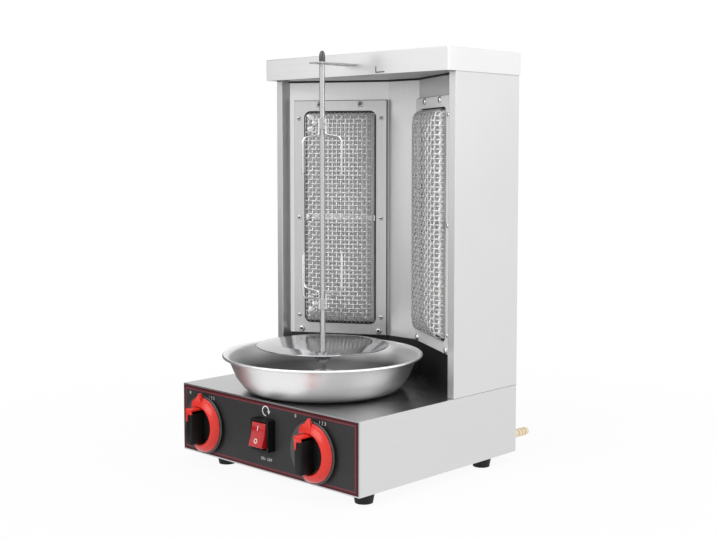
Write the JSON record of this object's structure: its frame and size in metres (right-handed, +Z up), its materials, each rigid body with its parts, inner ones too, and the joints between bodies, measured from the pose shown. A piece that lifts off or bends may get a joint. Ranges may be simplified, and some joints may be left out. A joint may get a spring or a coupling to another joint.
{
  "type": "electric skewer grill",
  "caption": "Vertical skewer grill: turning spit with forks before two ceramic gas burners in a steel housing, drip pan, and a base with two knobs and a rocker switch.",
  "frame": {"origin": "middle of the overall box, on the surface the feet stand on", "axes": "+X to the right seen from the front, +Y to the back, +Z up"},
  "size_m": [0.284, 0.3292, 0.4605],
  "materials": {
    "body_steel": "fine satin stainless sheet",
    "base_steel": "brushed stainless sheet",
    "plain_steel": "brushed stainless sheet",
    "mirror_steel": "bright annealed stainless reflector",
    "disc_steel": "mirror polished stainless",
    "pan_steel": "spun satin stainless",
    "rod_steel": "bright drawn stainless",
    "screw_steel": "bright plated steel",
    "guard_wire": "woven stainless wire",
    "ceramic": "porous off-white ceramic",
    "black_sheet": "dark heat-proof paint",
    "panel_print": "dark grey printed plate with a red double border",
    "foot_rubber": "black rubber",
    "black_plastic": "black moulded plastic",
    "red_plastic": "red moulded plastic",
    "red_lens": "translucent red plastic",
    "brass": "turned brass",
    "pipe_metal": "drawn tube",
    "motor_metal": "zinc-plated steel can"
  },
  "bodies": {
    "chassis": {"back_panel": "plain_steel", "back_panel_screws": "screw_steel", "base_cover": "base_steel", "base_tray": "plain_steel", "burner_screws": "screw_steel", "ceiling_plate": "plain_steel", "control_panel": "plain_steel", "foot_back_left": "foot_rubber", "foot_back_right": "foot_rubber", "foot_front_left": "foot_rubber", "foot_front_right": "foot_rubber", "foot_screws": "screw_steel", "gas_manifold": "pipe_metal", "gearbox": "motor_metal", "holder_studs": "screw_steel", "hose_nozzle": "brass", "left_burner_box": "plain_steel", "left_burner_frame": "plain_steel", "left_burner_guard": "guard_wire", "left_ceramic_tiles": "ceramic", "left_feed_pipe": "pipe_metal", "left_gas_valve": "brass", "left_jet": "brass", "left_side_panel": "body_steel", "lower_skirt": "black_sheet", "motor": "motor_metal", "motor_bracket": "plain_steel", "motor_screws": "screw_steel", "panel_overlay": "panel_print", "power_inlet": "black_plastic", "reflector_liner": "mirror_steel", "right_burner_box": "plain_steel", "right_burner_frame": "plain_steel", "right_burner_guard": "guard_wire", "right_ceramic_tiles": "ceramic", "right_feed_pipe": "pipe_metal", "right_gas_valve": "brass", "right_jet": "brass", "right_side_panel": "body_steel", "shaft_bush": "brass", "spit_holder": "rod_steel", "switch_housing": "black_plastic", "top_cap": "body_steel"},
    "drive": {"drive_shaft": "plain_steel"},
    "spit": {"spit_rod": "rod_steel", "meat_disc": "disc_steel"},
    "lower_fork_body": {"lower_fork": "rod_steel"},
    "upper_fork_body": {"upper_fork": "rod_steel"},
    "lower_wing": {"lower_wing_screw": "screw_steel"},
    "upper_wing": {"upper_wing_screw": "screw_steel"},
    "rocker": {"switch_rocker": "red_lens"},
    "pan": {"drip_pan": "pan_steel"},
    "left_push": {"left_valve_sleeve": "brass"},
    "left_knob": {"left_valve_stem": "plain_steel", "left_knob_grip": "black_plastic", "left_knob_ring": "red_plastic"},
    "right_push": {"right_valve_sleeve": "brass"},
    "right_knob": {"right_valve_stem": "plain_steel", "right_knob_grip": "black_plastic", "right_knob_ring": "red_plastic"}
  },
  "joints": [
    {"name": "drive_turn", "type": "hinge", "parent": "chassis", "child": "drive", "pos_m": [0, -0.05235, 0.08], "axis": [0, 0, 1], "continuous": true},
    {"name": "spit_lift", "type": "slide", "parent": "drive", "child": "spit", "axis": [0, 0, 1], "range_m": [0, 0.025]},
    {"name": "lower_fork_slide", "type": "slide", "parent": "spit", "child": "lower_fork_body", "axis": [0, 0, 1], "range_m": [-0.03, 0.04]},
    {"name": "upper_fork_slide", "type": "slide", "parent": "spit", "child": "upper_fork_body", "axis": [0, 0, 1], "range_m": [-0.04, 0.02]},
    {"name": "lower_wing_turn", "type": "hinge", "parent": "lower_fork_body", "child": "lower_wing", "pos_m": [0, -0.05235, 0.182], "axis": [-0.7071, -0.7071, 0], "range_deg": [0, 360]},
    {"name": "upper_wing_turn", "type": "hinge", "parent": "upper_fork_body", "child": "upper_wing", "pos_m": [0, -0.05235, 0.381], "axis": [-0.7071, -0.7071, 0], "range_deg": [0, 360]},
    {"name": "rocker_tilt", "type": "hinge", "parent": "chassis", "child": "rocker", "pos_m": [0.003, -0.14685, 0.0515], "axis": [1, 0, 0], "range_deg": [0, 26]},
    {"name": "pan_lift", "type": "slide", "parent": "chassis", "child": "pan", "axis": [0, 0, 1], "range_m": [0, 0.012]},
    {"name": "left_knob_push", "type": "slide", "parent": "chassis", "child": "left_push", "axis": [0, 1, 0], "range_m": [0, 0.003], "stiffness_N_per_m": 600},
    {"name": "left_knob_turn", "type": "hinge", "parent": "left_push", "child": "left_knob", "pos_m": [-0.0985, -0.13835, 0.0455], "axis": [0, -1, 0], "range_deg": [0, 180]},
    {"name": "right_knob_push", "type": "slide", "parent": "chassis", "child": "right_push", "axis": [0, 1, 0], "range_m": [0, 0.003], "stiffness_N_per_m": 600},
    {"name": "right_knob_turn", "type": "hinge", "parent": "right_push", "child": "right_knob", "pos_m": [0.078, -0.13835, 0.0455], "axis": [0, -1, 0], "range_deg": [0, 180]}
  ]
}
